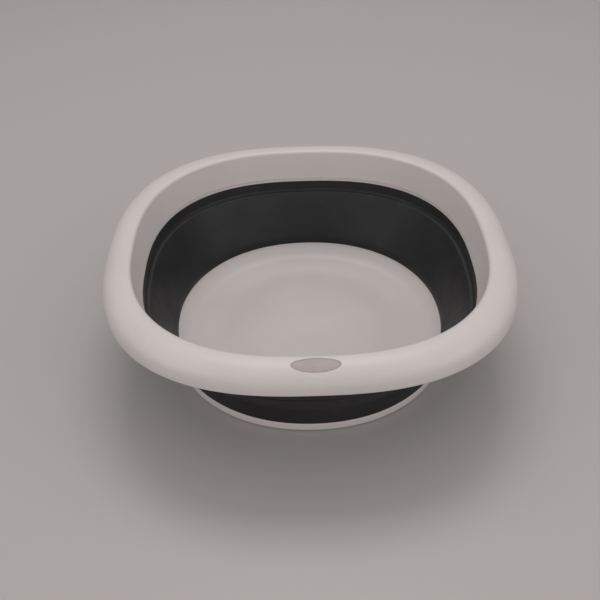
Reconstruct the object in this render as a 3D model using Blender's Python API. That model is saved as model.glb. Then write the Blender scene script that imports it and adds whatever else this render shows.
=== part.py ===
"""Collapsible wash basin.

A rigid rim and a rigid base are joined by one folding rubber wall, nearly round at the base and a rounded
square at the rim. The wall is one moulding on the real basin. Here it is three solids that meet at its two
hinge lines: the band that grips the rim, the panel that folds, and the lower wall that stands on the base.
The rim slides straight down round the base when the basin is folded flat.

Metres, +Z up. The origin is on the table, under the middle of the base. The badge faces -Y.
"""

import math

import bmesh
import bpy

# Overall sizes
RIM_HALF_WIDTH = 0.180
BASIN_HEIGHT = 0.113
RING_SEGMENTS = 72
SEAT_GAP = 0.0003

# How square each ring is: the exponent of its outline, where 2 is a circle
BASE_EXPONENT = 2.10
RIM_EXPONENT = 2.5
LIP_EXPONENT = 2.57

# Rim: an inner band, a rounded crest and a lip that curves outward and down
RIM_WALL = 0.0026
BAND_HEIGHT = 0.0306
BAND_LEAN = 0.0068
CREST_RADIUS = 0.0032
CREST_STEPS = 4
LIP_WIDTH = 0.0250
LIP_DROP = 0.0168
LIP_FULLNESS = 2.4
LIP_EDGE = 0.0016
LIP_STEPS = 8
STRIP_HEIGHT = 0.0030
STRIP_DEPTH = 0.0005
RIM_TONGUE_HEIGHT = 0.0048
RIM_TONGUE_THICKNESS = 0.0012

# Badge: a blank oval plate in a shallow recess on the front of the lip
BADGE_LENGTH = 0.0370
BADGE_WIDTH = 0.0130
BADGE_THICKNESS = 0.0007
BADGE_SINK = 0.0003
BADGE_PLACE = 0.0076
BADGE_SEGMENTS = 32
BADGE_RINGS = 3

# Rubber wall: a skirt on the base, a cone with a fold line half way up, and a band that grips the rim
UPPER_BAND_HEIGHT = 0.0085
UPPER_GRIP_THICKNESS = 0.0040
HINGE_HEIGHT = 0.0020
HINGE_THICKNESS = 0.0014
PANEL_INSIDE = 0.0034
PANEL_OUTSIDE = 0.0014
PANEL_ROUNDING = 0.0014
FOLD_RISE = 0.0193
FOLD_WEB = 0.0012
FOLD_FLAT = 0.0014
FOLD_SLANT = 0.0020
SKIRT_RISE = 0.0052
SKIRT_LEAN = 0.0010

# Base: a dished floor on a foot ring, with a flange that shows below the rubber
DISH_HALF = 0.1243
DISH_DEPTH = 0.0138
DISH_SLOPE_WIDTH = 0.0112
FLOOR_FILLET = 0.026
FLOOR_FILLET_STEPS = 6
FLOOR_THICKNESS = 0.0026
FLOOR_RING_WIDTH = 0.0320
FLOOR_RING_RISE = 0.0050
FLOOR_DOME_RISE = 0.0024
FLOOR_DOME_STEPS = 4
UPSTAND_THICKNESS = 0.0020
FLANGE_REACH = 0.0020
FLANGE_HEIGHT = 0.0073
FLANGE_ROUNDING = 0.0012
FLANGE_LIFT = 0.0010
FOOT_INSET = 0.0170
FOOT_WIDTH = 0.0050
FOOT_DEPTH = 0.0042
BASE_TONGUE_HEIGHT = 0.0028
BASE_TONGUE_THICKNESS = 0.0010

# Places that follow from the sizes
RIM_BOTTOM = BASIN_HEIGHT - BAND_HEIGHT
CREST_HALF = RIM_HALF_WIDTH - LIP_WIDTH
BAND_FOOT_HALF = CREST_HALF - BAND_LEAN
UPPER_BAND_TOP = RIM_BOTTOM - SEAT_GAP
UPPER_BAND_BOTTOM = RIM_BOTTOM - UPPER_BAND_HEIGHT
FLOOR_TOP = FOOT_DEPTH + FLOOR_THICKNESS
DISH_TOP = FLOOR_TOP + DISH_DEPTH
UPSTAND_HALF = DISH_HALF + UPSTAND_THICKNESS
FLANGE_HALF = UPSTAND_HALF + FLANGE_REACH
FLANGE_TOP = FLANGE_LIFT + FLANGE_HEIGHT
SKIRT_TOP = DISH_TOP + SKIRT_RISE
SKIRT_FOOT_HALF = FLANGE_HALF - HINGE_THICKNESS / 2
FOLD_LINE = SKIRT_TOP + FOLD_RISE
DISH_SLOPE = math.degrees(math.atan2(DISH_DEPTH, DISH_SLOPE_WIDTH))
DISH_FOOT_HALF = DISH_HALF - DISH_SLOPE_WIDTH * (DISH_DEPTH - FLOOR_RING_RISE) / DISH_DEPTH
FLOOR_DOME_HALF = DISH_FOOT_HALF - FLOOR_RING_WIDTH
RING_SLOPE = math.degrees(math.atan2(FLOOR_RING_RISE, FLOOR_RING_WIDTH))

WHITE_PLASTIC = (0.600, 0.552, 0.541)
GREY_PLASTIC = (0.415, 0.358, 0.351)
CHARCOAL_RUBBER = (0.0165, 0.0162, 0.0175)


def clamp(value):
    """Limit a share to the range from 0 to 1."""
    return min(max(value, 0.0), 1.0)


def squareness(half, height):
    """Exponent of the ring through a point of the section."""
    up_the_wall = clamp((height - SKIRT_TOP) / (RIM_BOTTOM - SKIRT_TOP))
    out_on_the_lip = clamp((half - CREST_HALF) / LIP_WIDTH)
    rim_exponent = RIM_EXPONENT + (LIP_EXPONENT - RIM_EXPONENT) * out_on_the_lip
    return BASE_EXPONENT + (rim_exponent - BASE_EXPONENT) * up_the_wall


def ring_points(half, height):
    """Points of one ring: a rounded square whose sides lie at half from the axis."""
    exponent = squareness(half, height)
    points = []
    for step in range(RING_SEGMENTS):
        angle = 2 * math.pi * step / RING_SEGMENTS
        across, along = math.cos(angle), math.sin(angle)
        reach = half / (abs(across) ** exponent + abs(along) ** exponent) ** (1 / exponent)
        points.append((reach * across, reach * along, height))
    return points


def arc(centre, radii, start, end, steps):
    """Points on an arc of an ellipse in the section plane, as (half, height), angles in degrees."""
    points = []
    for step in range(steps + 1):
        angle = math.radians(start + (end - start) * step / steps)
        points.append((centre[0] + radii[0] * math.cos(angle), centre[1] + radii[1] * math.sin(angle)))
    return points


def offset_line(line, distance):
    """An open section line moved to the right of its own direction, corners kept at full thickness."""
    moved = []
    last = len(line) - 1
    for index, point in enumerate(line):
        normals = []
        for start, end in ((index - 1, index), (index, index + 1)):
            if start < 0 or end > last:
                continue
            run, rise = line[end][0] - line[start][0], line[end][1] - line[start][1]
            length = math.hypot(run, rise)
            normals.append((rise / length, -run / length))
        mean = [sum(normal[axis] for normal in normals) / len(normals) for axis in (0, 1)]
        stretch = distance / (mean[0] ** 2 + mean[1] ** 2)
        moved.append((point[0] + mean[0] * stretch, point[1] + mean[1] * stretch))
    return moved


def plastic(name, colour, roughness):
    """A Principled material for a moulded part."""
    material = bpy.data.materials.new(name)
    material.use_nodes = True
    shader = material.node_tree.nodes["Principled BSDF"]
    shader.inputs["Base Color"].default_value = (*colour, 1.0)
    shader.inputs["Roughness"].default_value = roughness
    shader.inputs["Metallic"].default_value = 0.0
    return material


def add_object(name, mesh, material, collection):
    """Put a mesh in the scene, smooth where its faces meet at a shallow angle."""
    mesh.materials.append(material)
    mesh.shade_smooth()
    mesh.set_sharp_from_angle(angle=math.radians(35))
    thing = bpy.data.objects.new(name, mesh)
    collection.objects.link(thing)
    return thing


def skin_rings(name, rings, loops_back):
    """A closed mesh through rings of equal count, joined end to start or capped at both ends."""
    bm = bmesh.new()
    rows = [[bm.verts.new(point) for point in ring] for ring in rings]
    pairs = list(zip(rows, rows[1:]))
    if loops_back:
        pairs.append((rows[-1], rows[0]))
    else:
        bm.faces.new(rows[0])
        bm.faces.new(rows[-1])
    for row, following in pairs:
        for step in range(len(row)):
            after = (step + 1) % len(row)
            bm.faces.new((row[step], row[after], following[after], following[step]))
    bmesh.ops.recalc_face_normals(bm, faces=bm.faces)
    mesh = bpy.data.meshes.new(name)
    bm.to_mesh(mesh)
    bm.free()
    return mesh


def ring_solid(name, outline, material, collection):
    """A ring whose cross-section is a closed outline of (half, height) points."""
    mesh = skin_rings(name, [ring_points(*point) for point in outline], loops_back=True)
    return add_object(name, mesh, material, collection)


def crest_top_half():
    """Half size at the very top of the rim, where the crest's rounding meets the lip."""
    lean = math.atan2(BAND_LEAN, BAND_HEIGHT)
    return CREST_HALF + CREST_RADIUS * math.cos(lean)


def lip_point(share, depth):
    """Point at a depth under the lip's visible face, at a share of the way from the crest to the edge."""
    turn = share * math.pi / 2
    reach = RIM_HALF_WIDTH - crest_top_half()
    out, down = math.sin(turn) ** (2 / LIP_FULLNESS), math.cos(turn) ** (2 / LIP_FULLNESS)
    normal = (out ** (LIP_FULLNESS - 1) / reach, down ** (LIP_FULLNESS - 1) / LIP_DROP)
    length = math.hypot(*normal)
    half = crest_top_half() + reach * out - normal[0] / length * depth
    height = BASIN_HEIGHT - LIP_DROP * (1 - down) - normal[1] / length * depth
    return half, height


def rim_face():
    """The rim's visible face, from the foot of the band up over the crest and out to the lip's edge."""
    lean = math.degrees(math.atan2(BAND_LEAN, BAND_HEIGHT))
    crest_centre = (crest_top_half(), BASIN_HEIGHT - CREST_RADIUS)
    crest = arc(crest_centre, (CREST_RADIUS, CREST_RADIUS), 180 - lean, 90, CREST_STEPS)
    lip = [lip_point(step / LIP_STEPS, 0.0) for step in range(1, LIP_STEPS)]
    edge = [(RIM_HALF_WIDTH, BASIN_HEIGHT - LIP_DROP), (RIM_HALF_WIDTH, BASIN_HEIGHT - LIP_DROP - LIP_EDGE)]
    return [(BAND_FOOT_HALF, RIM_BOTTOM)] + crest + lip + edge


def make_rim(material, collection):
    """The white rim, with the step above the rubber and the tongue that the rubber grips."""
    face = rim_face()
    back = offset_line(face, RIM_WALL)
    strip_top = RIM_BOTTOM + STRIP_HEIGHT
    strip_half = BAND_FOOT_HALF + STRIP_HEIGHT * BAND_LEAN / BAND_HEIGHT
    strip = [
        (BAND_FOOT_HALF + STRIP_DEPTH, RIM_BOTTOM),
        (strip_half + STRIP_DEPTH, strip_top - STRIP_DEPTH),
        (strip_half, strip_top),
    ]
    edge_half, edge_height = face[-1]
    edge_centre = (edge_half - RIM_WALL / 2, edge_height)
    edge = arc(edge_centre, (RIM_WALL / 2, RIM_WALL / 2), 0, -180, 4)
    tongue_half = BAND_FOOT_HALF + RIM_WALL / 2 + STRIP_DEPTH / 2
    tongue_low = RIM_BOTTOM - RIM_TONGUE_HEIGHT
    inner, outer = tongue_half - RIM_TONGUE_THICKNESS / 2, tongue_half + RIM_TONGUE_THICKNESS / 2
    tongue = [(outer, RIM_BOTTOM), (outer, tongue_low), (inner, tongue_low), (inner, RIM_BOTTOM)]
    outline = strip + face[1:-1] + edge + back[-2:0:-1] + [(BAND_FOOT_HALF + RIM_WALL, RIM_BOTTOM)] + tongue
    return ring_solid("rim", outline, material, collection)


def point_down_the_lip(distance, depth):
    """Point a distance down the rim's face from the top of the crest, and a depth under the face."""
    face = rim_face()
    under = offset_line(face, depth)
    walked = -sum(math.dist(*pair) for pair in zip(face[:CREST_STEPS + 1], face[1:CREST_STEPS + 2]))
    for index, pair in enumerate(zip(face, face[1:])):
        length = math.dist(*pair)
        if walked + length >= distance:
            break
        walked += length
    share = (distance - walked) / length
    low, high = under[index], under[index + 1]
    return low[0] + (high[0] - low[0]) * share, low[1] + (high[1] - low[1]) * share


def badge_mesh(name, length, width, top_depth, bottom_depth):
    """An oval plate that follows the lip at the front, between two depths under its face."""

    def oval(share, depth):
        points = []
        for step in range(BADGE_SEGMENTS):
            turn = 2 * math.pi * step / BADGE_SEGMENTS
            sideways = share * length / 2 * math.cos(turn)
            down = share * width / 2 * math.sin(turn)
            half, height = point_down_the_lip(BADGE_PLACE + down, depth)
            exponent = squareness(half, height)
            outward = half * (1 - (abs(sideways) / half) ** exponent) ** (1 / exponent)
            points.append((sideways, -outward, height))
        return points

    shares = [(ring + 1) / BADGE_RINGS for ring in range(BADGE_RINGS)]
    top = [oval(share, top_depth) for share in shares]
    bottom = [oval(share, bottom_depth) for share in reversed(shares)]
    return skin_rings(name, top + bottom, loops_back=False)


def make_badge(rim, material, collection, cutters):
    """The blank badge plate, and the recess cut for it in the rim."""
    recess_depth = BADGE_SINK + BADGE_THICKNESS + SEAT_GAP
    recess = badge_mesh(
        "badge_recess", BADGE_LENGTH + 2 * SEAT_GAP, BADGE_WIDTH + 2 * SEAT_GAP, -RIM_WALL, recess_depth
    )
    cutter = bpy.data.objects.new("badge_recess", recess)
    cutter.hide_render = True
    cutter.display_type = "WIRE"
    cutters.objects.link(cutter)
    cut = rim.modifiers.new("badge_recess", "BOOLEAN")
    cut.operation = "DIFFERENCE"
    cut.solver = "EXACT"
    cut.object = cutter
    plate = badge_mesh("rim_badge", BADGE_LENGTH, BADGE_WIDTH, BADGE_SINK, BADGE_SINK + BADGE_THICKNESS)
    return add_object("rim_badge", plate, material, collection)


def make_upper_band(material, collection):
    """The rubber band that grips the rim's tongue."""
    tongue_half = BAND_FOOT_HALF + RIM_WALL / 2 + STRIP_DEPTH / 2
    slot_inner = tongue_half - RIM_TONGUE_THICKNESS / 2 - SEAT_GAP
    slot_outer = tongue_half + RIM_TONGUE_THICKNESS / 2 + SEAT_GAP
    slot_low = RIM_BOTTOM - RIM_TONGUE_HEIGHT - SEAT_GAP
    outside = BAND_FOOT_HALF + UPPER_GRIP_THICKNESS
    chamfer = HINGE_THICKNESS / 2
    outline = [
        (BAND_FOOT_HALF - chamfer, UPPER_BAND_BOTTOM),
        (BAND_FOOT_HALF, UPPER_BAND_TOP),
        (slot_inner, UPPER_BAND_TOP),
        (slot_inner, slot_low),
        (slot_outer, slot_low),
        (slot_outer, UPPER_BAND_TOP),
        (outside - chamfer, UPPER_BAND_TOP),
        (outside, UPPER_BAND_TOP - chamfer),
        (outside, UPPER_BAND_BOTTOM + chamfer),
        (outside - chamfer, UPPER_BAND_BOTTOM),
    ]
    return ring_solid("wall_upper_band", outline, material, collection)


def up_the_panel(low_half, high_half, height):
    """Half size at a height on a straight line from the skirt's top to the hinge under the rim's band."""
    slope = (high_half - low_half) / (UPPER_BAND_BOTTOM - SKIRT_TOP)
    return low_half + slope * (height - SKIRT_TOP)


def wall_inside(height):
    return up_the_panel(DISH_HALF, BAND_FOOT_HALF - PANEL_INSIDE, height)


def wall_outside(height):
    return up_the_panel(SKIRT_FOOT_HALF + SKIRT_LEAN, BAND_FOOT_HALF + PANEL_OUTSIDE, height)


def hinge_middle(height):
    """Half size at the middle of the thin hinge web under the rim's band."""
    share = PANEL_INSIDE / (PANEL_INSIDE + PANEL_OUTSIDE)
    return wall_inside(height) + share * (wall_outside(height) - wall_inside(height))


def half_of_fold_groove(side, end_height):
    """Half of the groove outside the fold line: its section above or below the line, by the side's sign."""
    flat = FOLD_LINE + side * FOLD_FLAT / 2
    brink = flat + side * FOLD_SLANT
    return [
        (wall_outside(brink), brink),
        (wall_inside(flat) + FOLD_WEB, flat),
        (wall_inside(end_height) + FOLD_WEB, end_height),
    ]


def make_panel(material, collection):
    """The folding panel: a thick cone with a thin hinge web at its top and at the fold line."""
    low, high = FOLD_LINE + SEAT_GAP / 2, UPPER_BAND_BOTTOM - SEAT_GAP
    body_high = high - HINGE_HEIGHT
    web = HINGE_THICKNESS / 2
    corner_steps = 3
    faces = []
    for thickness, face, side in ((PANEL_INSIDE, wall_inside, -1), (PANEL_OUTSIDE, wall_outside, 1)):
        rounding = min(PANEL_ROUNDING, thickness - web)
        points = []
        for step in range(corner_steps):
            turn = math.pi / 2 * step / corner_steps
            height = body_high - rounding * (1 - math.sin(turn))
            points.append((face(height) - side * rounding * (1 - math.cos(turn)), height))
        faces.append(points + [(hinge_middle(height) + side * web, height) for height in (body_high, high)])
    inside, outside = faces
    outline = [(wall_inside(low), low)] + inside + outside[::-1] + half_of_fold_groove(1, low)
    return ring_solid("wall_fold_panel", outline, material, collection)


def make_lower_wall(material, collection):
    """The rubber that stands on the base: a skirt that grips its upstand, then a cone up to the fold line."""
    slot_outer = UPSTAND_HALF + SEAT_GAP
    slot_inner = UPSTAND_HALF - BASE_TONGUE_THICKNESS - SEAT_GAP
    slot_top = DISH_TOP + BASE_TONGUE_HEIGHT + SEAT_GAP
    high = FOLD_LINE - SEAT_GAP / 2
    outline = [
        (slot_outer, FLANGE_TOP + SEAT_GAP),
        (SKIRT_FOOT_HALF, FLANGE_TOP + SEAT_GAP),
        (SKIRT_FOOT_HALF + SKIRT_LEAN, SKIRT_TOP),
    ]
    outline += half_of_fold_groove(-1, high)
    outline += [
        (wall_inside(high), high),
        (DISH_HALF, SKIRT_TOP),
        (DISH_HALF, DISH_TOP + SEAT_GAP),
        (slot_inner, DISH_TOP + SEAT_GAP),
        (slot_inner, slot_top),
        (slot_outer, slot_top),
    ]
    return ring_solid("wall_lower", outline, material, collection)


def dome(height):
    """Points of the crowned floor, from near its middle out to where it meets the sloped ring around it."""
    points = []
    for step in range(1, FLOOR_DOME_STEPS + 1):
        share = step / FLOOR_DOME_STEPS
        points.append((FLOOR_DOME_HALF * share, height + FLOOR_DOME_RISE * (1 - share ** 2)))
    return points


def height_at(line, half):
    """Height of a section line that runs outward, at a half size."""
    for (start_half, start_height), (end_half, end_height) in zip(line, line[1:]):
        if start_half <= half <= end_half:
            return start_height + (end_height - start_height) * (half - start_half) / (end_half - start_half)
    return line[-1][1]


def dish_fillet():
    """Points of the fillet between the floor's sloped ring and the dish's side."""
    slope = math.radians(RING_SLOPE)
    reach = FLOOR_FILLET * math.tan(math.radians(DISH_SLOPE - RING_SLOPE) / 2)
    start_half = DISH_FOOT_HALF - reach * math.cos(slope)
    start_height = FLOOR_TOP + FLOOR_RING_RISE - reach * math.sin(slope)
    centre = (start_half - FLOOR_FILLET * math.sin(slope), start_height + FLOOR_FILLET * math.cos(slope))
    radii = (FLOOR_FILLET, FLOOR_FILLET)
    return arc(centre, radii, RING_SLOPE - 90, DISH_SLOPE - 90, FLOOR_FILLET_STEPS)


def base_profile():
    """The base's section, from the middle of the floor out, over the upstand and back underneath."""
    dish = dome(FLOOR_TOP) + dish_fillet() + [(DISH_HALF, DISH_TOP)]

    tongue_top = DISH_TOP + BASE_TONGUE_HEIGHT
    tongue_inner = UPSTAND_HALF - BASE_TONGUE_THICKNESS
    tongue = [(tongue_inner, DISH_TOP), (tongue_inner, tongue_top), (UPSTAND_HALF, tongue_top)]

    rounding = (FLANGE_ROUNDING, FLANGE_ROUNDING)
    flange_half = FLANGE_HALF - FLANGE_ROUNDING
    flange = [(UPSTAND_HALF, FLANGE_TOP)]
    flange += arc((flange_half, FLANGE_TOP - FLANGE_ROUNDING), rounding, 90, 0, 2)
    flange += arc((flange_half, FLANGE_LIFT + FLANGE_ROUNDING), rounding, 0, -90, 2)

    skirt_inner = UPSTAND_HALF - UPSTAND_THICKNESS
    foot_outer = DISH_HALF - FOOT_INSET
    foot_inner = foot_outer - FOOT_WIDTH
    under = offset_line(dish, FLOOR_THICKNESS)
    pocket = [point for point in under if foot_outer < point[0] < skirt_inner]
    roof = [(skirt_inner, FLANGE_LIFT), (skirt_inner, height_at(under, skirt_inner))]
    roof += pocket[::-1] + [(foot_outer, height_at(under, foot_outer))]
    foot = [(foot_outer, 0.0), (foot_inner, 0.0), (foot_inner, height_at(under, foot_inner))]
    return dish + tongue + flange + roof + foot + dome(FOOT_DEPTH)[::-1]


def make_base(material, collection):
    """The white base, with a small flat at the middle of its floor, above and below."""
    mesh = skin_rings("base", [ring_points(*point) for point in base_profile()], loops_back=False)
    return add_object("base", mesh, material, collection)


def main():
    for thing in list(bpy.data.objects):
        bpy.data.objects.remove(thing)
    parts = bpy.data.collections.new("collapsible_wash_basin")
    cutters = bpy.data.collections.new("cutters")
    for collection in (parts, cutters):
        bpy.context.scene.collection.children.link(collection)

    white = plastic("white_plastic", WHITE_PLASTIC, 0.38)
    grey = plastic("grey_plastic", GREY_PLASTIC, 0.45)
    rubber = plastic("charcoal_rubber", CHARCOAL_RUBBER, 0.55)

    make_base(white, parts)
    make_lower_wall(rubber, parts)
    make_panel(rubber, parts)
    upper_band = make_upper_band(rubber, parts)
    rim = make_rim(white, parts)
    badge = make_badge(rim, grey, parts, cutters)

    slide = bpy.data.objects.new("rim_slide", None)
    parts.objects.link(slide)
    for thing in (upper_band, rim, badge):
        thing.parent = slide


main()
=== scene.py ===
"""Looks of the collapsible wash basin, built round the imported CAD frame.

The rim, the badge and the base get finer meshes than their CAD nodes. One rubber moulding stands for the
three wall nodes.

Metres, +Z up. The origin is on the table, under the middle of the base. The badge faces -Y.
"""

import math

import bmesh
import bpy
import numpy as np
from mathutils import Matrix, Vector


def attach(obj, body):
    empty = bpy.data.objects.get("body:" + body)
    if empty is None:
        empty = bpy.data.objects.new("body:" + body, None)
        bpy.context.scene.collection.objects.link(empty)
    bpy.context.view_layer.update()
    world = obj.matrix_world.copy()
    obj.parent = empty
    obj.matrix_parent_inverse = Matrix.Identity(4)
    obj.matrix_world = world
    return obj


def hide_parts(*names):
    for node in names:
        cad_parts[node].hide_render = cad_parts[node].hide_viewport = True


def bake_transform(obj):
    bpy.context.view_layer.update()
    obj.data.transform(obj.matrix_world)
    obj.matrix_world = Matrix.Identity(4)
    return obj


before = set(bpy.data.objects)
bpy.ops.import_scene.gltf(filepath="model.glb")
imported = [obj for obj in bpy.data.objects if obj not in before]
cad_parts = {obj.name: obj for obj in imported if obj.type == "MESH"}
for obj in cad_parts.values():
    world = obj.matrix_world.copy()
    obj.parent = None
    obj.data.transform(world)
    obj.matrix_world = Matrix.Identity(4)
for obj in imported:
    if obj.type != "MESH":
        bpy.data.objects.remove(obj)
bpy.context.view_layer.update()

# Overall sizes, as in the CAD source
RIM_HALF_WIDTH = 0.180
BASIN_HEIGHT = 0.113
SEAT_GAP = 0.0003

# How square each ring is: the exponent of its outline, where 2 is a circle
BASE_EXPONENT = 2.10
RIM_EXPONENT = 2.5
LIP_EXPONENT = 2.57

# Rim: an inner band, a rounded crest and a lip that curves outward and down
RIM_WALL = 0.0026
BAND_HEIGHT = 0.0306
BAND_LEAN = 0.0068
CREST_RADIUS = 0.0032
LIP_WIDTH = 0.0250
LIP_DROP = 0.0168
LIP_FULLNESS = 2.4
LIP_EDGE = 0.0016
STRIP_HEIGHT = 0.0030
STRIP_DEPTH = 0.0005
STRIP_ROUNDING = 0.0001
RIM_TONGUE_HEIGHT = 0.0048
RIM_TONGUE_THICKNESS = 0.0012

# Badge: a blank oval plate in a shallow recess on the front of the lip
BADGE_LENGTH = 0.0370
BADGE_WIDTH = 0.0130
BADGE_THICKNESS = 0.0007
BADGE_SINK = 0.0003
BADGE_PLACE = 0.0076
BADGE_CROWN = 0.00025
BADGE_ROUNDING = 0.00045

# Rubber wall: a skirt on the base, a cone with a fold line half way up, and a band that grips the rim
UPPER_BAND_HEIGHT = 0.0085
UPPER_GRIP_THICKNESS = 0.0040
HINGE_HEIGHT = 0.0020
HINGE_THICKNESS = 0.0014
HINGE_NICK = 0.0001
PANEL_INSIDE = 0.0034
PANEL_OUTSIDE = 0.0014
FOLD_RISE = 0.0193
FOLD_WEB = 0.0012
FOLD_FLAT = 0.0014
FOLD_SLANT = 0.0020
SKIRT_RISE = 0.0052
SKIRT_LEAN = 0.0010

# Base: a dished floor on a foot ring, with a flange that shows below the rubber
DISH_HALF = 0.1243
DISH_DEPTH = 0.0138
DISH_SLOPE_WIDTH = 0.0112
FLOOR_FILLET = 0.026
FLOOR_THICKNESS = 0.0026
FLOOR_RING_WIDTH = 0.0320
FLOOR_RING_RISE = 0.0050
FLOOR_DOME_RISE = 0.0024
FLOOR_KNEE = 0.0075
UPSTAND_THICKNESS = 0.0020
FLANGE_REACH = 0.0020
FLANGE_HEIGHT = 0.0073
FLANGE_ROUNDING = 0.0012
FLANGE_LIFT = 0.0010
FOOT_INSET = 0.0170
FOOT_WIDTH = 0.0050
FOOT_DEPTH = 0.0042
FOOT_ROUNDING = 0.0005
BASE_TONGUE_HEIGHT = 0.0028
BASE_TONGUE_THICKNESS = 0.0010

# Places that follow from the sizes
RIM_BOTTOM = BASIN_HEIGHT - BAND_HEIGHT
CREST_HALF = RIM_HALF_WIDTH - LIP_WIDTH
BAND_FOOT_HALF = CREST_HALF - BAND_LEAN
BAND_ANGLE = math.atan2(BAND_LEAN, BAND_HEIGHT)
CREST_TOP_HALF = CREST_HALF + CREST_RADIUS * math.cos(BAND_ANGLE)
RIM_TONGUE_HALF = BAND_FOOT_HALF + RIM_WALL / 2 + STRIP_DEPTH / 2
UPPER_BAND_BOTTOM = RIM_BOTTOM - UPPER_BAND_HEIGHT
FLOOR_TOP = FOOT_DEPTH + FLOOR_THICKNESS
DISH_TOP = FLOOR_TOP + DISH_DEPTH
UPSTAND_HALF = DISH_HALF + UPSTAND_THICKNESS
FLANGE_HALF = UPSTAND_HALF + FLANGE_REACH
FLANGE_TOP = FLANGE_LIFT + FLANGE_HEIGHT
SKIRT_TOP = DISH_TOP + SKIRT_RISE
SKIRT_FOOT_HALF = FLANGE_HALF - HINGE_THICKNESS / 2
FOLD_LINE = SKIRT_TOP + FOLD_RISE
DISH_SLOPE = math.degrees(math.atan2(DISH_DEPTH, DISH_SLOPE_WIDTH))
DISH_FOOT_HALF = DISH_HALF - DISH_SLOPE_WIDTH * (DISH_DEPTH - FLOOR_RING_RISE) / DISH_DEPTH
FLOOR_DOME_HALF = DISH_FOOT_HALF - FLOOR_RING_WIDTH
RING_SLOPE = math.degrees(math.atan2(FLOOR_RING_RISE, FLOOR_RING_WIDTH))

# How fine the meshes are: segments round the axis, and rows along a section
RIM_SEGMENTS = 360
WALL_SEGMENTS = 240
BASE_SEGMENTS = 240
BADGE_SEGMENTS = 96
CREST_ARC_STEPS = 24
LIP_FACE_STEPS = 160
BAND_ROWS = 9
CREST_ROWS = 12
LIP_ROWS = 22
LIP_BACK_ROWS = 26
BAND_BACK_ROWS = 6
WALL_STEP = 0.0016
DOME_STEPS = 14
KNEE_STEPS = 10
FILLET_STEPS = 30
SHARP_ANGLE = 40

# Zone of the lip that is meshed anew for the badge's recess: its length down the lip, its rows, half its
# columns, and the rings between its border and the recess
BADGE_ZONE = 0.0156
BADGE_ZONE_ROWS = 26
BADGE_ZONE_COLUMNS = 8
BADGE_ZONE_RINGS = 6

# Camera: found by fitting the basin's outlines to the photograph
CAMERA_PLACE = (-0.0170, -0.6273, 0.5425)
CAMERA_PITCH = 38.611
CAMERA_YAW = 0.766
CAMERA_ROLL = 1.182
CAMERA_LENS = 51.13
CAMERA_SENSOR = 36.0

# Colours
WHITE = (0.604, 0.563, 0.553)
WHITE_SHADE = (0.578, 0.537, 0.528)
WHITE_SPECK = (0.42, 0.39, 0.37)
WHITE_SCRATCH = (0.47, 0.44, 0.43)
GREY = (0.402, 0.347, 0.340)
GREY_SHADE = (0.365, 0.316, 0.311)
CHARCOAL = (0.0125, 0.0122, 0.0132)
CHARCOAL_DUSTY = (0.0230, 0.0228, 0.0245)
CHARCOAL_DUST = (0.085, 0.083, 0.080)
CHARCOAL_SCRATCH = (0.055, 0.054, 0.053)
FLOOR_COLOUR = (0.435, 0.412, 0.402)
WALL_COLOUR = (0.72, 0.70, 0.69)

# Stage: a flat floor to its reach, a sweep of its radius, and a wall to its height
STAGE_REACH = 3.0
STAGE_SWEEP = 1.4
STAGE_HEIGHT = 2.3
STAGE_SEGMENTS = 96
STAGE_GAP = 0.0002

# Light: the even light of a room, and four soft lamps (name, place, target, size, watts, colour)
ROOM_COLOUR = (1.0, 0.985, 0.97, 1.0)
ROOM_STRENGTH = 0.61
LAMPS = (
    ("left", (-1.3, -0.8, 0.9), (0, 0, 0.05), (1.2, 1.0), 3.6, (1.0, 0.98, 0.97)),
    ("right", (1.3, -0.8, 0.9), (0, 0, 0.05), (1.2, 1.0), 3.9, (1.0, 0.98, 0.98)),
    ("overhead", (0.0, 0.62, 1.55), (0, 0, 0.05), (0.9, 0.6), 7.0, (1.0, 0.99, 0.98)),
    ("front", (0.1, -1.7, 0.45), (0, 0, 0.03), (1.8, 0.6), 4.5, (1.0, 0.97, 0.96)),
)


# Sections: every shape is a line of (half, height) points, swept round the axis


def clamp(value):
    """Limit a share to the range from 0 to 1."""
    return min(max(value, 0.0), 1.0)


def squareness(half, height):
    """Exponent of the ring through a point of the section."""
    up_the_wall = clamp((height - SKIRT_TOP) / (RIM_BOTTOM - SKIRT_TOP))
    out_on_the_lip = clamp((half - CREST_HALF) / LIP_WIDTH)
    rim_exponent = RIM_EXPONENT + (LIP_EXPONENT - RIM_EXPONENT) * out_on_the_lip
    return BASE_EXPONENT + (rim_exponent - BASE_EXPONENT) * up_the_wall


def ring_points(half, height, segments):
    """Points of one ring: a rounded square whose sides lie at half from the axis."""
    exponent = squareness(half, height)
    angles = np.arange(segments) * 2 * math.pi / segments
    across, along = np.cos(angles), np.sin(angles)
    reach = half / (np.abs(across) ** exponent + np.abs(along) ** exponent) ** (1 / exponent)
    points = np.stack((reach * across, reach * along, np.full(segments, height)), 1)
    return [tuple(point) for point in points]


def arc(centre, radius, start, end, steps):
    """Points on an arc in the section plane, angles in degrees."""
    points = []
    for step in range(steps + 1):
        angle = math.radians(start + (end - start) * step / steps)
        points.append((centre[0] + radius * math.cos(angle), centre[1] + radius * math.sin(angle)))
    return points


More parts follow.
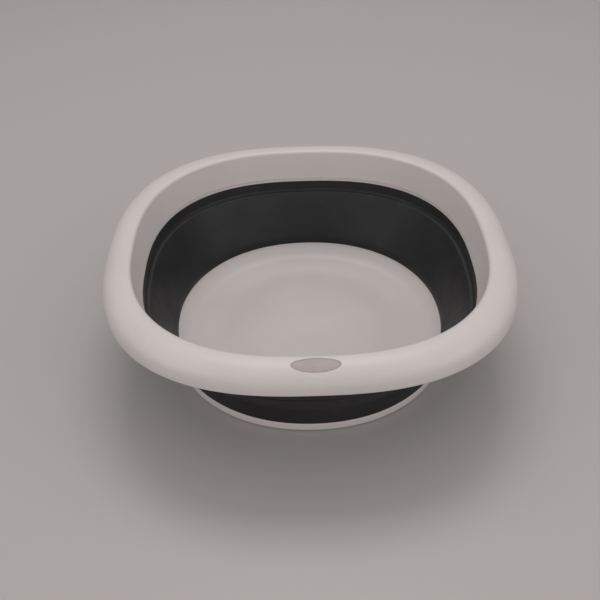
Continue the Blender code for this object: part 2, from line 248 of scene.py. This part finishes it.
def rounded(corners, steps=4):
    """A closed outline through corners (half, height, radius), each rounded to its radius."""
    points = []
    for index, (half, height, radius) in enumerate(corners):
        if radius == 0:
            points.append((half, height))
            continue
        corner = Vector((half, height))
        before = (Vector(corners[index - 1][:2]) - corner).normalized()
        after = (Vector(corners[(index + 1) % len(corners)][:2]) - corner).normalized()
        bend = before.angle(after)
        centre = corner + (before + after).normalized() * radius / math.sin(bend / 2)
        reach = radius / math.tan(bend / 2)
        first, last = corner + before * reach - centre, corner + after * reach - centre
        turn = first.angle_signed(last)
        for step in range(steps + 1):
            spoke = Matrix.Rotation(-turn * step / steps, 2) @ first
            points.append((centre.x + spoke.x, centre.y + spoke.y))
    return points


def finer(line, longest):
    """The same closed outline with its long stretches cut into pieces."""
    points = []
    for start, end in zip(line, line[1:] + line[:1]):
        pieces = max(1, math.ceil(math.dist(start, end) / longest))
        for piece in range(pieces):
            share = piece / pieces
            points.append(tuple(a + (b - a) * share for a, b in zip(start, end)))
    return points


def offset_line(line, distance):
    """An open section line moved to the right of its own direction."""
    points = np.array(line)
    runs = np.diff(points, axis=0)
    runs /= np.linalg.norm(runs, axis=1)[:, None]
    normals = np.stack((runs[:, 1], -runs[:, 0]), 1)
    means = np.vstack((normals[:1], (normals[:-1] + normals[1:]) / 2, normals[-1:]))
    moved = points + means * (distance / (means ** 2).sum(1))[:, None]
    return [tuple(point) for point in moved]


# Meshes


def join_rows(bm, rows, closed, loops_back, skip=None):
    """Quads between rows of vertices.

    A closed row wraps round, and if the rows loop back, the last meets the first. Where skip is given, the
    quads that it picks by row and step are left out.
    """
    pairs = list(enumerate(zip(rows, rows[1:])))
    if loops_back:
        pairs.append((len(rows) - 1, (rows[-1], rows[0])))
    for index, (row, following) in pairs:
        for step in range(len(row) if closed else len(row) - 1):
            after = (step + 1) % len(row)
            if skip is None or not skip(index, step):
                bm.faces.new((row[step], row[after], following[after], following[step]))


def cap(bm, row, centre):
    """A fan that closes a row at a centre point."""
    middle = bm.verts.new(centre)
    for step in range(len(row)):
        bm.faces.new((row[step], row[(step + 1) % len(row)], middle))


def finish_mesh(bm, name, material, weighted=True):
    """A smooth object from a bmesh, its normals leaning to its larger faces where weighted."""
    bmesh.ops.recalc_face_normals(bm, faces=bm.faces)
    mesh = bpy.data.meshes.new(name)
    bm.to_mesh(mesh)
    bm.free()
    mesh.shade_smooth()
    mesh.set_sharp_from_angle(angle=math.radians(SHARP_ANGLE))
    mesh.materials.append(material)
    thing = bpy.data.objects.new(name, mesh)
    bpy.context.scene.collection.objects.link(thing)
    if weighted:
        normals = thing.modifiers.new("weighted_normals", "WEIGHTED_NORMAL")
        normals.keep_sharp = True
    return thing


def swept(name, outline, segments, material, closed_section):
    """An object swept round the axis from a section, which ends on the axis if it isn't closed."""
    bm = bmesh.new()
    line = outline if closed_section else outline[1:-1]
    rows = [[bm.verts.new(point) for point in ring_points(*spot, segments)] for spot in line]
    join_rows(bm, rows, closed=True, loops_back=closed_section)
    if not closed_section:
        cap(bm, rows[0], (0.0, 0.0, outline[0][1]))
        cap(bm, rows[-1], (0.0, 0.0, outline[-1][1]))
    return finish_mesh(bm, name, material)


# Rim and badge


def face_line():
    """The rim's visible face as a fine line: up its inner band, over the crest and down to the lip's edge."""
    crest_centre = (CREST_TOP_HALF, BASIN_HEIGHT - CREST_RADIUS)
    line = [(BAND_FOOT_HALF, RIM_BOTTOM)]
    line += arc(crest_centre, CREST_RADIUS, 180 - math.degrees(BAND_ANGLE), 90, CREST_ARC_STEPS)
    reach = RIM_HALF_WIDTH - CREST_TOP_HALF
    for step in range(1, LIP_FACE_STEPS + 1):
        turn = math.pi / 2 * step / LIP_FACE_STEPS
        out = math.sin(turn) ** (2 / LIP_FULLNESS)
        down = max(math.cos(turn), 0.0) ** (2 / LIP_FULLNESS)
        line.append((CREST_TOP_HALF + reach * out, BASIN_HEIGHT - LIP_DROP * (1 - down)))
    line.append((RIM_HALF_WIDTH, BASIN_HEIGHT - LIP_DROP - LIP_EDGE))
    return line


def distances_down(line):
    """Distance of each point of the face line from the top of the crest, below 0 on the inner band."""
    lengths = np.linalg.norm(np.diff(np.array(line), axis=0), axis=1)
    along = np.concatenate(([0.0], np.cumsum(lengths)))
    return along - along[CREST_ARC_STEPS + 1]


FACE = face_line()
FACE_DISTANCE = distances_down(FACE)
FACE_START, CREST_START = float(FACE_DISTANCE[0]), float(FACE_DISTANCE[1])
FACE_END = float(FACE_DISTANCE[-1])


def on_face(distance, depth=0.0):
    """Section point a distance down the lip from the top of the crest, a depth under the face."""
    line = np.array(offset_line(FACE, depth)) if depth else np.array(FACE)
    half = np.interp(distance, FACE_DISTANCE, line[:, 0])
    height = np.interp(distance, FACE_DISTANCE, line[:, 1])
    return float(half), float(height)


def on_front(sideways, distance, depth):
    """Point on the front of the lip, at a place sideways and down the lip, a depth under its face."""
    half, height = on_face(distance, depth)
    exponent = squareness(half, height)
    return sideways, -half * (1 - (abs(sideways) / half) ** exponent) ** (1 / exponent), height


def rim_outline():
    """The rim's closed section, and the number of the row where the badge's zone starts."""
    tiny = STRIP_ROUNDING
    strip_half = BAND_FOOT_HALF + STRIP_HEIGHT * BAND_LEAN / BAND_HEIGHT
    strip_top = RIM_BOTTOM + STRIP_HEIGHT
    strip = [
        (BAND_FOOT_HALF + STRIP_DEPTH, RIM_BOTTOM),
        (BAND_FOOT_HALF + STRIP_DEPTH + tiny, RIM_BOTTOM + tiny),
        (strip_half + STRIP_DEPTH - tiny, strip_top - STRIP_DEPTH - 2 * tiny),
        (strip_half + STRIP_DEPTH - tiny, strip_top - STRIP_DEPTH),
        (strip_half + 1.2 * tiny, strip_top),
        (strip_half, strip_top + 2 * tiny),
    ]
    strip_end = math.hypot(STRIP_HEIGHT + 2 * tiny, STRIP_HEIGHT * BAND_LEAN / BAND_HEIGHT)
    band_length = math.hypot(BAND_HEIGHT, BAND_LEAN)
    band = np.linspace(strip_end - band_length - STRIP_HEIGHT, CREST_START - 4 * tiny, BAND_ROWS)
    band = [distance for distance in band if distance > FACE_START + strip_end]
    crest = list(np.linspace(CREST_START, 0.0, CREST_ROWS))[:-1]
    zone = list(np.linspace(0.0, BADGE_ZONE, BADGE_ZONE_ROWS + 1))
    lip = list(np.linspace(BADGE_ZONE, FACE_END, LIP_ROWS))[1:]
    face = [on_face(distance) for distance in band + crest + zone + lip]

    edge_half, edge_height = FACE[-1]
    edge = arc((edge_half - RIM_WALL / 2, edge_height), RIM_WALL / 2, 0, -180, 8)[1:]
    back_distances = list(np.linspace(FACE_END, 0.0, LIP_BACK_ROWS))[1:]
    back_distances += list(np.linspace(0.0, CREST_START, BAND_BACK_ROWS))[1:]
    back_distances += list(np.linspace(CREST_START, FACE_START, BAND_BACK_ROWS))[1:-1]
    back = [on_face(distance, RIM_WALL) for distance in back_distances]

    tongue_low = RIM_BOTTOM - RIM_TONGUE_HEIGHT
    inner = RIM_TONGUE_HALF - RIM_TONGUE_THICKNESS / 2
    outer = RIM_TONGUE_HALF + RIM_TONGUE_THICKNESS / 2
    foot = [(BAND_FOOT_HALF + RIM_WALL, RIM_BOTTOM), (outer, RIM_BOTTOM)]
    foot += [(outer, tongue_low), (inner, tongue_low), (inner, RIM_BOTTOM)]
    return strip + face + edge + back + foot, len(strip) + len(band) + len(crest)


def recess_spot(turn, grow):
    """Place on the badge's oval, sideways and down the lip, with the oval grown by a distance."""
    across, along = BADGE_LENGTH / 2 + grow, BADGE_WIDTH / 2 + grow
    return across * math.cos(turn), BADGE_PLACE + along * math.sin(turn)


def let_in_recess(bm, loop, places):
    """Fill the badge's zone: rings from its border to an oval edge, a rounded drop and a flat floor.

    The loop holds the border's vertices, and places says where each lies, sideways and down the lip.
    """
    reach = max(abs(sideways) for sideways, _ in places)
    turns = []
    for sideways, down in places:
        turns.append(math.atan2((down - BADGE_PLACE) / (BADGE_ZONE / 2), sideways / reach))
    floor_depth = BADGE_SINK + BADGE_THICKNESS + SEAT_GAP / 2

    def oval_row(grow, depth):
        return [bm.verts.new(on_front(*recess_spot(turn, SEAT_GAP / 2 + grow), depth)) for turn in turns]

    rows = [loop]
    for ring in range(1, BADGE_ZONE_RINGS):
        share = ring / BADGE_ZONE_RINGS
        row = []
        for place, turn in zip(places, turns):
            oval = recess_spot(turn, BADGE_ROUNDING)
            spot = [a + (b - a) * share for a, b in zip(place, oval)]
            row.append(bm.verts.new(on_front(*spot, 0.0)))
        rows.append(row)
    for step in range(4):
        turn = math.pi / 2 * step / 3
        rows.append(oval_row(BADGE_ROUNDING * (1 - math.sin(turn)), BADGE_ROUNDING * (1 - math.cos(turn))))
    rows += [oval_row(grow, floor_depth) for grow in (0.0, -0.0015, -0.0035)]
    join_rows(bm, rows, closed=True, loops_back=False)
    cap(bm, rows[-1], on_front(0.0, BADGE_PLACE, floor_depth))


def make_rim(material):
    """The rim moulding, with a real recess for the badge let into the front of its lip."""
    outline, first_row = rim_outline()
    last_row = first_row + BADGE_ZONE_ROWS
    front = RIM_SEGMENTS * 3 // 4
    left, right = front - BADGE_ZONE_COLUMNS, front + BADGE_ZONE_COLUMNS
    bm = bmesh.new()
    rows = [[bm.verts.new(point) for point in ring_points(*spot, RIM_SEGMENTS)] for spot in outline]

    def in_zone(row, column):
        return first_row <= row < last_row and left <= column < right

    join_rows(bm, rows, closed=True, loops_back=True, skip=in_zone)

    border = [(first_row, column) for column in range(left, right)]
    border += [(row, right) for row in range(first_row, last_row)]
    border += [(last_row, column) for column in range(right, left, -1)]
    border += [(row, left) for row in range(last_row, first_row, -1)]
    loop = [rows[row][column] for row, column in border]
    down_per_row = BADGE_ZONE / BADGE_ZONE_ROWS
    places = [(vertex.co.x, (row - first_row) * down_per_row) for vertex, (row, _) in zip(loop, border)]
    let_in_recess(bm, loop, places)
    return finish_mesh(bm, "rim_moulding", material)


def make_badge(material):
    """The blank oval plate in the recess: a slightly crowned top with rounded edges."""
    bm = bmesh.new()
    bottom = BADGE_SINK + BADGE_THICKNESS
    edge = BADGE_ROUNDING

    def oval_row(share, shrink, depth):
        row = []
        for step in range(BADGE_SEGMENTS):
            turn = 2 * math.pi * step / BADGE_SEGMENTS
            across, along = (BADGE_LENGTH / 2 - shrink) * share, (BADGE_WIDTH / 2 - shrink) * share
            spot = across * math.cos(turn), BADGE_PLACE + along * math.sin(turn)
            row.append(bm.verts.new(on_front(*spot, depth)))
        return row

    rows = [oval_row(0.5, 0.0, bottom), oval_row(1.0, 0.0, bottom)]
    for step in range(5):
        turn = math.pi / 2 * step / 4
        rows.append(oval_row(1.0, edge * (1 - math.cos(turn)), BADGE_SINK + edge * (1 - math.sin(turn))))
    for share in (0.9, 0.75, 0.6, 0.45, 0.3, 0.15):
        rows.append(oval_row(share, edge, BADGE_SINK - BADGE_CROWN * (1 - share ** 2)))
    join_rows(bm, rows, closed=True, loops_back=False)
    cap(bm, rows[0], on_front(0.0, BADGE_PLACE, bottom))
    cap(bm, rows[-1], on_front(0.0, BADGE_PLACE, BADGE_SINK - BADGE_CROWN))
    return finish_mesh(bm, "badge_plate", material)


# Rubber wall


def up_the_panel(low_half, high_half, height):
    """Half size at a height on a straight line from the skirt's top to the hinge under the rim's band."""
    slope = (high_half - low_half) / (UPPER_BAND_BOTTOM - SKIRT_TOP)
    return low_half + slope * (height - SKIRT_TOP)


def wall_inside(height):
    """Half size of the wall's inner face at a height."""
    return up_the_panel(DISH_HALF, BAND_FOOT_HALF - PANEL_INSIDE, height)


def wall_outside(height):
    """Half size of the wall's outer face at a height."""
    return up_the_panel(SKIRT_FOOT_HALF + SKIRT_LEAN, BAND_FOOT_HALF + PANEL_OUTSIDE, height)


def hinge_middle(height):
    """Half size at the middle of the thin hinge web under the rim's band."""
    share = PANEL_INSIDE / (PANEL_INSIDE + PANEL_OUTSIDE)
    return wall_inside(height) + share * (wall_outside(height) - wall_inside(height))


def wall_outline():
    """The rubber moulding's closed section: a skirt on the base, the folding wall, and the rim's band."""
    web = HINGE_THICKNESS / 2
    high = UPPER_BAND_BOTTOM
    body_high = high - HINGE_HEIGHT
    fit = SEAT_GAP / 2
    flat_low, flat_high = FOLD_LINE - FOLD_FLAT / 2, FOLD_LINE + FOLD_FLAT / 2
    brink_low, brink_high = flat_low - FOLD_SLANT, flat_high + FOLD_SLANT
    base_slot_outer, base_slot_inner = UPSTAND_HALF + fit, UPSTAND_HALF - BASE_TONGUE_THICKNESS - fit
    base_slot_top = DISH_TOP + BASE_TONGUE_HEIGHT + fit
    rim_slot_inner = RIM_TONGUE_HALF - RIM_TONGUE_THICKNESS / 2 - fit
    rim_slot_outer = RIM_TONGUE_HALF + RIM_TONGUE_THICKNESS / 2 + fit
    rim_slot_low = RIM_BOTTOM - RIM_TONGUE_HEIGHT - fit
    outside_high = BAND_FOOT_HALF + UPPER_GRIP_THICKNESS
    rim_seat = RIM_BOTTOM - fit / 2
    corners = [
        # Outside, going up. Each corner is half, height and radius
        (base_slot_outer, FLANGE_TOP + fit, 0),
        (SKIRT_FOOT_HALF, FLANGE_TOP + fit, 0.0003),
        (SKIRT_FOOT_HALF + SKIRT_LEAN, SKIRT_TOP, 0.0040),
        (wall_outside(brink_low), brink_low, 0.0008),
        (wall_inside(flat_low) + FOLD_WEB, flat_low, 0.0005),
        (wall_inside(flat_high) + FOLD_WEB, flat_high, 0.0005),
        (wall_outside(brink_high), brink_high, 0.0008),
        (wall_outside(body_high), body_high, 0.0004),
        (hinge_middle(body_high) + web, body_high, 0.0002),
        (hinge_middle(high) + web, high, 0.0004),
        (outside_high, high, 0.0007),
        (outside_high, rim_seat, 0.0007),
        # Slot for the rim's tongue
        (rim_slot_outer, rim_seat, 0),
        (rim_slot_outer, rim_slot_low, 0),
        (rim_slot_inner, rim_slot_low, 0),
        (rim_slot_inner, rim_seat, 0),
        # Inside, going down
        (BAND_FOOT_HALF, rim_seat, 0.00025),
        (BAND_FOOT_HALF - web, high, 0.0005),
        (hinge_middle(high) - web - 2 * HINGE_NICK, high - HINGE_NICK, 0),
        (hinge_middle(body_high) - web, body_high, 0.0003),
        (wall_inside(body_high), body_high, 0.0012),
        (DISH_HALF, SKIRT_TOP, 0.0150),
        (DISH_HALF, DISH_TOP + fit, 0.00025),
        # Slot for the base's tongue
        (base_slot_inner, DISH_TOP + fit, 0),
        (base_slot_inner, base_slot_top, 0),
        (base_slot_outer, base_slot_top, 0),
    ]
    return finer(rounded(corners), WALL_STEP)


def make_wall(material):
    """The rubber wall, one continuous skin from the base to the rim."""
    return swept("rubber_wall", wall_outline(), WALL_SEGMENTS, material, closed_section=True)


# Base


def floor_lines():
    """The floor's crown, the soft knee at its foot, and the rest of the dish up to its rim."""
    dome_half = FLOOR_DOME_HALF - FLOOR_KNEE
    shares = [dome_half / FLOOR_DOME_HALF * step / DOME_STEPS for step in range(DOME_STEPS)]
    crown = [(FLOOR_DOME_HALF * share, FLOOR_DOME_RISE * (1 - share ** 2)) for share in shares]

    along, up = math.cos(math.radians(RING_SLOPE)), math.sin(math.radians(RING_SLOPE))
    foot_of_dome = Vector((FLOOR_DOME_HALF, FLOOR_TOP))
    knee_start = Vector((dome_half, FLOOR_TOP + FLOOR_DOME_RISE * (1 - (dome_half / FLOOR_DOME_HALF) ** 2)))
    knee_end = foot_of_dome + Vector((along, up)) * FLOOR_KNEE
    knee = []
    for step in range(KNEE_STEPS + 1):
        share = step / KNEE_STEPS
        first, second = knee_start.lerp(foot_of_dome, share), foot_of_dome.lerp(knee_end, share)
        knee.append(tuple(first.lerp(second, share)))

    reach = FLOOR_FILLET * math.tan(math.radians(DISH_SLOPE - RING_SLOPE) / 2)
    start = Vector((DISH_FOOT_HALF - reach * along, FLOOR_TOP + FLOOR_RING_RISE - reach * up))
    centre = start + Vector((-up, along)) * FLOOR_FILLET
    side = [tuple(knee_end.lerp(start, 0.5))]
    side += arc(centre, FLOOR_FILLET, RING_SLOPE - 90, DISH_SLOPE - 90, FILLET_STEPS)
    side.append((DISH_HALF, DISH_TOP))
    return crown, knee, side


def base_outline():
    """The base's section, from the middle of its floor out, over the upstand and back underneath."""
    crown, knee, side = floor_lines()
    dish = [(half, FLOOR_TOP + rise) for half, rise in crown] + knee + side

    tongue_top = DISH_TOP + BASE_TONGUE_HEIGHT
    tongue_inner = UPSTAND_HALF - BASE_TONGUE_THICKNESS
    tongue = [(tongue_inner, DISH_TOP), (tongue_inner, tongue_top), (UPSTAND_HALF, tongue_top)]
    flange_half = FLANGE_HALF - FLANGE_ROUNDING
    flange = [(UPSTAND_HALF, FLANGE_TOP)]
    flange += arc((flange_half, FLANGE_TOP - FLANGE_ROUNDING), FLANGE_ROUNDING, 90, 0, 6)
    flange += arc((flange_half, FLANGE_LIFT + FLANGE_ROUNDING), FLANGE_ROUNDING, 0, -90, 6)

    under = offset_line(dish, FLOOR_THICKNESS)
    halves, heights = zip(*under)

    def under_the_dish(half):
        return half, float(np.interp(half, halves, heights))

    margin = 0.0004
    skirt_inner = UPSTAND_HALF - UPSTAND_THICKNESS
    foot_outer = DISH_HALF - FOOT_INSET
    foot_inner = foot_outer - FOOT_WIDTH
    pocket = [point for point in under if foot_outer + margin < point[0] < skirt_inner - margin]
    roof = [(skirt_inner, FLANGE_LIFT), under_the_dish(skirt_inner)]
    roof += pocket[::-1] + [under_the_dish(foot_outer)]
    foot = arc((foot_outer - FOOT_ROUNDING, FOOT_ROUNDING), FOOT_ROUNDING, 0, -90, 3)
    foot += arc((foot_inner + FOOT_ROUNDING, FOOT_ROUNDING), FOOT_ROUNDING, -90, -180, 3)
    foot.append(under_the_dish(foot_inner))
    underside = [(half, height - FLOOR_THICKNESS) for half, height in knee[::-1]]
    underside += [(half, FOOT_DEPTH + rise) for half, rise in crown[::-1]]
    return dish + tongue + flange + roof + foot + underside


def make_base(material):
    """The base moulding, closed on the axis above and below."""
    return swept("base_moulding", base_outline(), BASE_SEGMENTS, material, closed_section=False)


# Materials


def add_node(tree, kind, inputs=(), **settings):
    """A shader node with its settings and its unlinked inputs."""
    node = tree.nodes.new(kind)
    for name, value in settings.items():
        setattr(node, name, value)
    for name, value in dict(inputs).items():
        node.inputs[name].default_value = value
    return node


def new_material(name, specular):
    """A material, its node tree and its shader, with the specular level set on the shader itself."""
    material = bpy.data.materials.new(name)
    material.use_nodes = True
    tree = material.node_tree
    shader = tree.nodes["Principled BSDF"]
    shader.inputs["Specular IOR Level"].default_value = specular
    return material, tree, shader


def object_coords(tree):
    """The surface point's place in the object's own metres."""
    return add_node(tree, "ShaderNodeTexCoord").outputs["Object"]


def noise(tree, coords, scale, detail, roughness=0.5, stretch=None, turn=0.0):
    """A noise texture in the object's own metres, its value near 0.5. It can be stretched and turned."""
    texture = add_node(tree, "ShaderNodeTexNoise", {"Scale": scale, "Detail": detail, "Roughness": roughness})
    if stretch:
        mapping = add_node(tree, "ShaderNodeMapping", {"Scale": stretch, "Rotation": (0.0, 0.0, turn)})
        tree.links.new(coords, mapping.inputs["Vector"])
        coords = mapping.outputs["Vector"]
    tree.links.new(coords, texture.inputs["Vector"])
    return texture.outputs["Fac"]


def remap(tree, value, low, high, to_low, to_high):
    """A value between two limits, spread between two others."""
    inputs = {"From Min": low, "From Max": high, "To Min": to_low, "To Max": to_high}
    node = add_node(tree, "ShaderNodeMapRange", inputs)
    tree.links.new(value, node.inputs["Value"])
    return node.outputs["Result"]


def combine(tree, operation, *values):
    """Arithmetic on values, each a socket or a number."""
    node = add_node(tree, "ShaderNodeMath", operation=operation)
    for socket, value in zip(node.inputs, values):
        if isinstance(value, (int, float)):
            socket.default_value = value
        else:
            tree.links.new(value, socket)
    return node.outputs["Value"]


def mix_colour(tree, factor, first, second):
    """A colour between two, each a socket or an (r, g, b)."""
    node = add_node(tree, "ShaderNodeMix", data_type="RGBA")
    tree.links.new(factor, node.inputs["Factor"])
    for name, value in (("A", first), ("B", second)):
        socket = next(s for s in node.inputs if s.name == name and s.type == "RGBA")
        if isinstance(value, tuple):
            socket.default_value = (*value, 1.0)
        else:
            tree.links.new(value, socket)
    return next(s for s in node.outputs if s.type == "RGBA")


def bump(tree, height, depth, strength, below=None):
    """A bump of a depth in metres, on top of another bump."""
    node = add_node(tree, "ShaderNodeBump", {"Strength": strength, "Distance": depth})
    tree.links.new(height, node.inputs["Height"])
    if below is not None:
        tree.links.new(below, node.inputs["Normal"])
    return node.outputs["Normal"]


def scratches(tree, coords):
    """Fine hairlines in three directions, in patches: 0 nearly everywhere, 1 on a hairline."""
    total = None
    for turn, scale in ((0.35, 46.0), (1.45, 38.0), (2.40, 52.0)):
        lines = noise(tree, coords, scale, 2.0, 0.5, stretch=(0.45, 46.0, 0.45), turn=turn)
        line = remap(tree, lines, 0.70, 0.74, 0.0, 1.0)
        total = line if total is None else combine(tree, "MAXIMUM", total, line)
    patches = remap(tree, noise(tree, coords, 19.0, 2.0), 0.46, 0.62, 0.0, 1.0)
    return combine(tree, "MULTIPLY", total, patches)


def white_plastic():
    """Satin moulded plastic: a faint uneven tint, a fine grain, and light hairline scratches from use."""
    material, tree, shader = new_material("white_plastic_satin", 0.42)
    coords = object_coords(tree)
    tint = remap(tree, noise(tree, coords, 17.0, 4.0, 0.55), 0.34, 0.66, 0.0, 1.0)
    colour = mix_colour(tree, tint, WHITE, WHITE_SHADE)
    specks = remap(tree, noise(tree, coords, 620.0, 1.0), 0.735, 0.78, 0.0, 0.35)
    colour = mix_colour(tree, specks, colour, WHITE_SPECK)
    lines = scratches(tree, coords)
    colour = mix_colour(tree, combine(tree, "MULTIPLY", lines, 0.35), colour, WHITE_SCRATCH)
    tree.links.new(colour, shader.inputs["Base Color"])

    cloud = remap(tree, noise(tree, coords, 55.0, 5.0, 0.6), 0.3, 0.7, 0.33, 0.45)
    tree.links.new(combine(tree, "MULTIPLY_ADD", lines, 0.16, cloud), shader.inputs["Roughness"])

    ripple = bump(tree, noise(tree, coords, 95.0, 2.0), 0.00006, 0.35)
    grain = bump(tree, noise(tree, coords, 2600.0, 2.0, 0.6), 0.00003, 0.30, ripple)
    tree.links.new(bump(tree, lines, -0.00002, 0.5, grain), shader.inputs["Normal"])
    return material


def grey_plastic():
    """The badge's plate: matt, with a fine even grain."""
    material, tree, shader = new_material("grey_plastic_matt", 0.40)
    coords = object_coords(tree)
    tint = remap(tree, noise(tree, coords, 140.0, 4.0, 0.6), 0.32, 0.68, 0.0, 1.0)
    tree.links.new(mix_colour(tree, tint, GREY, GREY_SHADE), shader.inputs["Base Color"])
    cloud = remap(tree, noise(tree, coords, 300.0, 3.0), 0.3, 0.7, 0.42, 0.54)
    tree.links.new(cloud, shader.inputs["Roughness"])
    grain = bump(tree, noise(tree, coords, 3200.0, 2.0, 0.6), 0.00004, 0.45)
    tree.links.new(grain, shader.inputs["Normal"])
    return material


def charcoal_rubber():
    """Thermoplastic rubber: near black and matt, with dusty smudges, light scuffs and a very fine grain."""
    material, tree, shader = new_material("charcoal_rubber_matt", 0.38)
    coords = object_coords(tree)
    smudge = remap(tree, noise(tree, coords, 15.0, 6.0, 0.62), 0.42, 0.72, 0.0, 0.75)
    colour = mix_colour(tree, smudge, CHARCOAL, CHARCOAL_DUSTY)
    dust = remap(tree, noise(tree, coords, 850.0, 2.0), 0.71, 0.77, 0.0, 0.5)
    colour = mix_colour(tree, dust, colour, CHARCOAL_DUST)
    scuffs = combine(tree, "MULTIPLY", scratches(tree, coords), 0.5)
    colour = mix_colour(tree, scuffs, colour, CHARCOAL_SCRATCH)
    tree.links.new(colour, shader.inputs["Base Color"])

    cloud = remap(tree, noise(tree, coords, 42.0, 5.0, 0.6), 0.3, 0.7, 0.43, 0.58)
    tree.links.new(cloud, shader.inputs["Roughness"])

    ripple = bump(tree, noise(tree, coords, 120.0, 2.0), 0.00008, 0.35)
    grain = bump(tree, noise(tree, coords, 2200.0, 3.0, 0.65), 0.00005, 0.5, ripple)
    tree.links.new(grain, shader.inputs["Normal"])
    return material


def pale_floor():
    """A plain floor that turns lighter as it sweeps up to the wall."""
    material, tree, shader = new_material("pale_floor", 0.35)
    shader.inputs["Roughness"].default_value = 0.42
    place = add_node(tree, "ShaderNodeSeparateXYZ")
    tree.links.new(object_coords(tree), place.inputs["Vector"])
    up_the_sweep = remap(tree, place.outputs["Z"], 0.0, STAGE_SWEEP, 0.0, 1.0)
    colour = mix_colour(tree, up_the_sweep, FLOOR_COLOUR, WALL_COLOUR)
    tree.links.new(colour, shader.inputs["Base Color"])
    return material


# Stage, light and camera


def make_stage():
    """A plain pale floor that sweeps up to a low wall all round."""
    line = [(1.0, 0.0)] + arc((STAGE_REACH, STAGE_SWEEP), STAGE_SWEEP, -90, 0, 24)
    line.append((STAGE_REACH + STAGE_SWEEP, STAGE_HEIGHT))
    turns = [2 * math.pi * step / STAGE_SEGMENTS for step in range(STAGE_SEGMENTS)]
    bm = bmesh.new()
    rows = []
    for reach, rise in line:
        rows.append([bm.verts.new((reach * math.cos(turn), reach * math.sin(turn), rise)) for turn in turns])
    join_rows(bm, rows, closed=True, loops_back=False)
    cap(bm, rows[0], (0.0, 0.0, 0.0))
    floor = finish_mesh(bm, "floor_sweep", pale_floor(), weighted=False)
    floor.location.z = -STAGE_GAP


def make_lamp(name, place, target, size, watts, colour):
    """A soft rectangular lamp that points at its target."""
    data = bpy.data.lights.new(name, "AREA")
    data.shape = "RECTANGLE"
    data.size, data.size_y = size
    data.energy = watts
    data.color = colour
    lamp = bpy.data.objects.new(name, data)
    lamp.location = place
    lamp.rotation_euler = (Vector(target) - Vector(place)).to_track_quat("-Z", "Y").to_euler()
    bpy.context.scene.collection.objects.link(lamp)


def make_light():
    """The room's even light, the soft lamps and plain colours."""
    world = bpy.data.worlds.new("soft_room")
    world.use_nodes = True
    background = world.node_tree.nodes["Background"]
    background.inputs["Color"].default_value = ROOM_COLOUR
    background.inputs["Strength"].default_value = ROOM_STRENGTH
    bpy.context.scene.world = world
    for lamp in LAMPS:
        make_lamp(*lamp)
    bpy.context.scene.view_settings.view_transform = "Standard"


def make_camera():
    """The camera at the photograph's viewing angle."""
    data = bpy.data.cameras.new("photo_view")
    data.lens, data.sensor_width = CAMERA_LENS, CAMERA_SENSOR
    data.clip_start, data.clip_end = 0.01, 50.0
    camera = bpy.data.objects.new("photo_view", data)
    tilt = Matrix.Rotation(math.radians(90 - CAMERA_PITCH), 4, "X")
    yaw = Matrix.Rotation(math.radians(-CAMERA_YAW), 4, "Z")
    roll = Matrix.Rotation(math.radians(-CAMERA_ROLL), 4, "Z")
    camera.matrix_world = Matrix.Translation(CAMERA_PLACE) @ yaw @ tilt @ roll
    bpy.context.scene.collection.objects.link(camera)
    bpy.context.scene.camera = camera


def main():
    """Dress both bodies, then set the stage, the light and the camera."""
    white, grey, rubber = white_plastic(), grey_plastic(), charcoal_rubber()

    base = make_base(white)
    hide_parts("base")
    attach(base, "base_body")

    rim = make_rim(white)
    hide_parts("rim")
    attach(rim, "rim_body")

    badge = make_badge(grey)
    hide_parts("rim_badge")
    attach(badge, "rim_body")

    wall = make_wall(rubber)
    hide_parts("wall_lower", "wall_fold_panel", "wall_upper_band")
    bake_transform(wall)

    make_stage()
    make_light()
    make_camera()


main()
